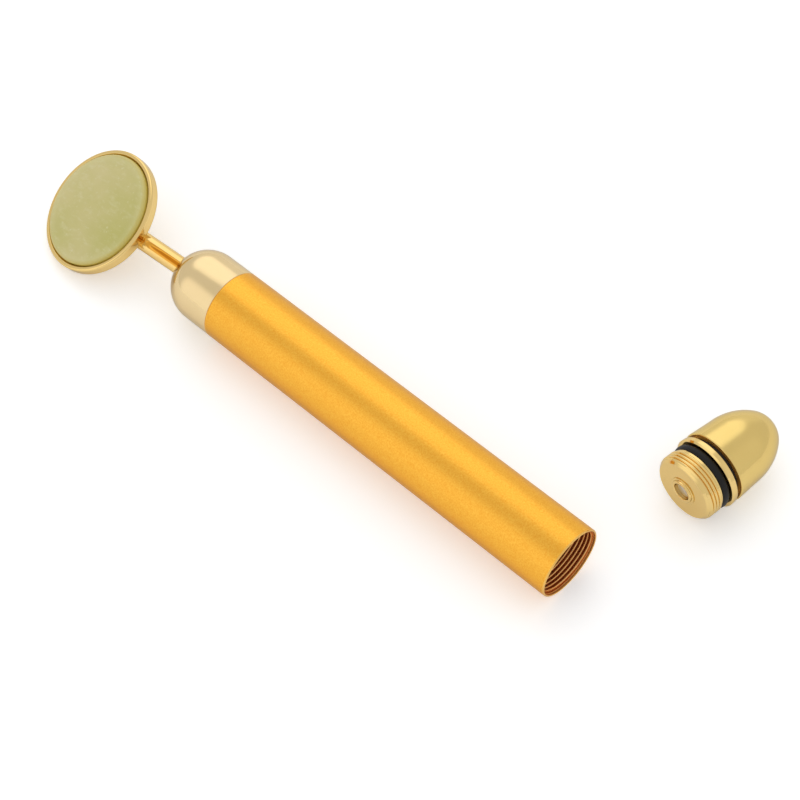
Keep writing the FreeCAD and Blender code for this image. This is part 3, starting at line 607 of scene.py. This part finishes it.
def build_stem():
    """Polished neck: round, with a deep flute on the stone's side, let into the dish's back."""
    half = math.atan2(FLUTE_WIDTH / 2, FLUTE_DEPTH)
    bottom = STEM_R - FLUTE_DEPTH
    lip = half - math.asin(bottom * math.sin(half) / STEM_R)
    softening = 0.03
    first = lip + softening
    sweep = 2 * (math.pi - first)
    wall = STEM_R * math.cos(first) - FLUTE_LIP_DROP
    spread = (wall - bottom) * math.tan(half)
    filled = [on_stem(angle) for angle in (-lip / 2, 0.0, lip / 2)]
    round_part = [on_stem(first + sweep * step / STEM_SIDES) for step in range(STEM_SIDES + 1)]
    to_disc = DISC.inverted() @ HEAD
    to_head = to_disc.inverted()
    stations = stem_stations()
    points = []
    for along, scale in stations:
        left = min(1.0, max(FLUTE_LEAST_SHARE, (FLUTE_END - along) / FLUTE_RUNOUT))
        notch = [(-spread, wall), (0.0, wall - (wall - bottom) * left), (spread, wall)]
        for across, up in round_part + (notch if along < FLUTE_END else filled):
            spot = to_disc @ Vector((along, across * scale, up * scale))
            if math.hypot(spot.x, spot.y) < DISH_R - COPE_MARGIN:
                spot.z = min(spot.z, COPE_SINK - DISH_DEPTH)
            points.append(to_head @ spot)
    faces = tube_faces(len(stations), len(round_part) + len(filled))
    rod = mesh_object("stem_rod", HEAD, points, faces)
    dress(rod, "handle", "polished_gold", "head_stem", "stem_gold")


def build_disc():
    """Polished dish with its soft lip, and the stone in it."""
    recess = DISH_R - LIP_WIDTH
    inner_at = DISH_DEPTH - LIP_INNER_ROUND
    inner_r = recess + LIP_BEVEL + LIP_INNER_SHIFT
    rim = [(0.0, 0.0)] + arc(DISH_BACK_ROUND, DISH_R - DISH_BACK_ROUND, DISH_BACK_ROUND, 180, 90, 14)
    rim += arc(DISH_DEPTH - LIP_ROUND, DISH_R - LIP_ROUND, LIP_ROUND, 90, 0, 10)
    rim += arc(inner_at, inner_r, LIP_INNER_ROUND, 0, LIP_INNER_LEAN, 6)
    rim += [(DISH_DEPTH - LIP_BEVEL_DEPTH, recess), (DISH_FLOOR, recess), (DISH_FLOOR, 0.0)]
    dress(lathe("dish_metal", DISH, rim), "handle", "polished_gold", "disc_bezel")
    shoulder = DISH_DEPTH + STONE_PROUD
    slope = STONE_R - STONE_ROUND - STONE_MIDDLE_R
    crown_r = (slope * slope + STONE_CROWN * STONE_CROWN) / (2 * STONE_CROWN)
    lean = math.degrees(math.asin(slope / crown_r))
    body = [(DISH_FLOOR, 0.0), (DISH_FLOOR, STONE_R)]
    body += arc(shoulder - STONE_ROUND, STONE_R - STONE_ROUND, STONE_ROUND, 90, lean, 12)
    body += arc(shoulder + STONE_CROWN - crown_r, STONE_MIDDLE_R, crown_r, lean, 0, 16)[1:]
    body += [(shoulder + STONE_CROWN, 0.0)]
    dress(lathe("stone_body", DISH, body), "handle", "jade", "jade_disc")


def build_cap_plug():
    """Threaded plug with its rubber ring and the washer behind its land."""
    hole = EYELET_R + BUSH_WALL
    profile = [(0.0, hole), (0.0, PLUG_R - PLUG_CHAMFER), (PLUG_CHAMFER, PLUG_R), (GROOVE, PLUG_R)]
    profile += [(GROOVE, GROOVE_R), (LAND, GROOVE_R)]
    profile += [(LAND, TUBE_R - LAND_BEVEL), (LAND + LAND_BEVEL, TUBE_R)]
    profile += arc(LAND_END - LAND_ROUND, TUBE_R - LAND_ROUND, LAND_ROUND, 90, 0, 6)
    profile += [(LAND_END, NECK_R), (NECK_END, NECK_R), (NECK_END, CAVITY_R), (WEB, CAVITY_R), (WEB, hole)]
    dress(lathe("plug_body", CAP, profile), "handle", "polished_gold", "cap_plug")
    end = GROOVE - PLUG_RIDGE_RUNOUT
    ridge = helix("plug_ridge", CAP, PLUG_RIDGE_START, end, PLUG_R, PLUG_RIDGE_HEIGHT, WIDE_CREST, 0.0)
    dress(ridge, "handle", "polished_gold", "cap_plug")
    circle = arc(0, 0, 1, 360, 0, 40)[:-1]
    ring = [(SEAL_AT + SEAL_HALF_WIDTH * a, SEAL_MID_R + SEAL_HALF_HEIGHT * b) for a, b in circle]
    dress(lathe("seal_ring", CAP, ring), "handle", "seal_rubber", "o_ring")
    hole = NECK_R + WASHER_PLAY
    washer = [(LAND_END, hole), (LAND_END, WASHER_R), (WASHER_END, WASHER_R), (WASHER_END, hole)]
    dress(lathe("gap_washer", CAP, washer), "handle", "black_plastic", "turn_washer")


def build_cap_contact():
    """Raised eyelet on the plug's nose and the pale core inside it."""
    tail = WEB + EYELET_TAIL
    eyelet = [(tail, EYELET_BORE)]
    eyelet += arc(EYELET_LIP - EYELET_H, EYELET_BORE + EYELET_LIP, EYELET_LIP, -90, -180, 6)
    eyelet += arc(EYELET_LIP - EYELET_H, EYELET_R - EYELET_LIP, EYELET_LIP, 180, 90, 6)
    eyelet += [(-FLANGE, EYELET_R + FLANGE_GAP)]
    eyelet += arc(-FLANGE + FLANGE_ROUND, FLANGE_R - FLANGE_ROUND, FLANGE_ROUND, 180, 90, 4)
    eyelet += [(0.0, FLANGE_R), (0.0, EYELET_R), (tail, EYELET_R)]
    dress(lathe("eyelet_ring", CAP, eyelet), "handle", "polished_gold", "contact_eyelet")
    side = EYELET_BORE - CORE_PLAY
    back = CORE_SETBACK + CORE_THICK
    core = [(CORE_SETBACK, 0.0), (CORE_SETBACK, side - CORE_BEVEL), (CORE_SETBACK + CORE_BEVEL, side)]
    core += [(back, side), (back, 0.0)]
    dress(lathe("eyelet_core", CAP, core), "handle", "nickel", "contact_core")


def build_cap_dome():
    """Bullet dome that turns on the plug's neck, and a thin facing on its rim's bevel whose deeper,
    half-metallic orange paints the shade the bevel mirrors from the gap.
    """
    reach = NOSE_LENGTH - NOSE_R
    side_r = (reach ** 2 + SHOULDER_R ** 2 - NOSE_R ** 2) / (2 * (SHOULDER_R - NOSE_R))
    swing = math.degrees(math.asin(reach / (side_r - NOSE_R)))
    shoulder = CAP_RIM + TAPER
    wall = NECK_R + TURN_PLAY
    outer = TUBE_R - CAP_RIM_ROUND
    inner = outer - CAP_RIM_BEVEL
    profile = [(CAP_SEAT, wall), (CAP_SEAT, inner)]
    profile += arc(CAP_RIM + CAP_RIM_ROUND, outer, CAP_RIM_ROUND, 180, 90, 8)
    profile += arc(shoulder, SHOULDER_R - side_r, side_r, 90, 90 - swing, 28)
    profile += arc(shoulder + reach, 0, NOSE_R, 90 - swing, 0, 28)[1:]
    profile[-1] = (shoulder + NOSE_LENGTH, 0.0)
    profile += [(NECK_END + CAP_ROOM, 0.0), (NECK_END + CAP_ROOM, wall)]
    shell = lathe("bullet_shell", CAP, profile, crease=40)
    dress(shell, "twist_dome", "polished_gold", "tail_dome", "hazy_gold")
    # Painted shade: a thin facing over the rim's bevel stands in for its dark reflection of the gap.
    front = CAP_SEAT - FACING
    bevel = [(CAP_SEAT, wall), (front, wall), (front, inner), (CAP_RIM - FACING_RIM, outer - FACING)]
    bevel += [(CAP_RIM + FACING_BACK, outer - FACING), (CAP_SEAT + FACING_ROOT, inner)]
    dress(lathe("bullet_bevel_shade", CAP, bevel), "twist_dome", "polished_gold", "tail_dome", "bevel_shade_gold")


def dress_inner_nodes():
    """Gives the CAD nodes that stay in view of an opened part their materials."""
    slots = {row["node"]: row["material_slot"] for row in frame["record"]["subparts"]}
    for name, node in frame["nodes"].items():
        node.data.materials.clear()
        node.data.materials.append(MATERIALS[slots[name]])


# Floor: half its side in metres, and how bright it looks by itself when seen and when mirrored
FLOOR_Z = -8.5
FLOOR_HALF = 3.0
FLOOR_SEEN = 0.3
FLOOR_MIRRORED = 0.14

# The tent's light: its level, and brighter parts as (azimuth, elevation), angle of the full part,
# angle at which it is gone, added level
TENT_LEVEL = 0.76
TENT_GLOWS = [
    ((141, 46), 5, 38, 0.40),
    ((-115, 21), 5, 38, 0.34),
    ((20, 34), 6, 42, 0.05),
    ((125, 4), 5, 40, 0.14),
]

# Soft lamp at the first of these parts: width and distance in metres, level
LAMP_SIZE = 1.2
LAMP_DISTANCE = 1.1
LAMP_LEVEL = 0.12

# The photo's own view point, found from the tube and the disc
CAMERA_AT = Vector((124.38, -173.31, 369.28))
CAMERA_RIGHT = Vector((0.73219, 0.68075, -0.02182))
CAMERA_DOWN = Vector((0.55283, -0.6127, -0.56478))
CAMERA_FORWARD = Vector((-0.39784, 0.40146, -0.82495))
CAMERA_SENSOR = 36
CAMERA_LENS = 92.87


def build_floor():
    """Pale floor that keeps the soft shadow and reads as white to the camera."""
    corners = [(-1, -1), (1, -1), (1, 1), (-1, 1)]
    mesh = bpy.data.meshes.new("floor")
    mesh.from_pydata([(x * FLOOR_HALF, y * FLOOR_HALF, FLOOR_Z * MM) for x, y in corners], [], [(0, 1, 2, 3)])
    floor = bpy.data.objects.new("floor", mesh)
    bpy.context.scene.collection.objects.link(floor)
    nodes = Nodes("floor_white")
    nodes.feed(nodes.colours(nodes.noise(2.0), (0.90, 0.90, 0.90), (0.92, 0.92, 0.92)), "Base Color")
    nodes.set(Roughness=0.4, Specular_IOR_Level=0.5, Emission_Color=(1, 1, 1, 1))
    path = nodes.add("ShaderNodeLightPath")
    seen = nodes.add("ShaderNodeMath")
    seen.operation = "MULTIPLY"
    seen.inputs[1].default_value = FLOOR_SEEN
    nodes.join(path.outputs["Is Camera Ray"], seen.inputs[0])
    glow = nodes.add("ShaderNodeMath")
    glow.operation = "MULTIPLY_ADD"
    glow.inputs[1].default_value = FLOOR_MIRRORED
    nodes.join(path.outputs["Is Glossy Ray"], glow.inputs[0])
    nodes.join(seen.outputs["Value"], glow.inputs[2])
    nodes.feed(glow.outputs["Value"], "Emission Strength")
    mesh.materials.append(nodes.material)


def direction(azimuth, elevation):
    """Unit vector from an azimuth measured from +X and an elevation, in degrees."""
    level = math.cos(math.radians(elevation))
    turned = math.radians(azimuth)
    return Vector((level * math.cos(turned), level * math.sin(turned), math.sin(math.radians(elevation))))


def build_tent():
    """Even tent, white where it is in view, with soft-edged brighter parts around."""
    world = bpy.data.worlds.new("studio")
    bpy.context.scene.world = world
    world.use_nodes = True
    tree = world.node_tree
    where = tree.nodes.new("ShaderNodeTexCoord")
    total = None
    for towards, inner, outer, glow in TENT_GLOWS:
        near = tree.nodes.new("ShaderNodeVectorMath")
        near.operation = "DOT_PRODUCT"
        near.inputs[1].default_value = direction(*towards)
        tree.links.new(where.outputs["Generated"], near.inputs[0])
        spot = tree.nodes.new("ShaderNodeMapRange")
        spot.interpolation_type = "SMOOTHERSTEP"
        spot.inputs["From Min"].default_value = math.cos(math.radians(outer))
        spot.inputs["From Max"].default_value = math.cos(math.radians(inner))
        spot.inputs["To Max"].default_value = glow
        tree.links.new(near.outputs["Value"], spot.inputs["Value"])
        add = tree.nodes.new("ShaderNodeMath")
        add.inputs[0].default_value = TENT_LEVEL
        if total:
            tree.links.new(total, add.inputs[0])
        tree.links.new(spot.outputs["Result"], add.inputs[1])
        total = add.outputs["Value"]
    path = tree.nodes.new("ShaderNodeLightPath")
    seen = tree.nodes.new("ShaderNodeMath")
    seen.operation = "MAXIMUM"
    tree.links.new(total, seen.inputs[0])
    tree.links.new(path.outputs["Is Camera Ray"], seen.inputs[1])
    back = tree.nodes["Background"]
    back.inputs["Color"].default_value = (1, 1, 1, 1)
    tree.links.new(seen.outputs["Value"], back.inputs["Strength"])


def build_lamp():
    """One soft round lamp that points at the object."""
    data = bpy.data.lights.new("soft_lamp", "AREA")
    data.shape = "DISK"
    data.size = LAMP_SIZE
    data.energy = LAMP_LEVEL * math.pi * math.pi * (LAMP_SIZE / 2) ** 2
    lamp = bpy.data.objects.new("soft_lamp", data)
    lamp.location = direction(*TENT_GLOWS[0][0]) * LAMP_DISTANCE
    lamp.rotation_euler = lamp.location.to_track_quat("Z", "Y").to_euler()
    bpy.context.scene.collection.objects.link(lamp)


def build_camera():
    """Camera at the photo's view point."""
    data = bpy.data.cameras.new("camera")
    data.sensor_width = CAMERA_SENSOR
    data.lens = CAMERA_LENS
    data.clip_start = 0.01
    camera = bpy.data.objects.new("camera", data)
    turned = Matrix((CAMERA_RIGHT, -CAMERA_DOWN, -CAMERA_FORWARD)).transposed()
    camera.matrix_world = Matrix.Translation(CAMERA_AT * MM) @ turned.to_4x4()
    bpy.context.scene.collection.objects.link(camera)
    bpy.context.scene.camera = camera


build_tube()
build_cell_tail()
build_front_spring()
build_front_dome()
build_stem()
build_disc()
build_cap_plug()
build_cap_contact()
build_cap_dome()
dress_inner_nodes()
build_floor()
build_tent()
build_lamp()
build_camera()
bpy.context.scene.view_settings.view_transform = "Standard"
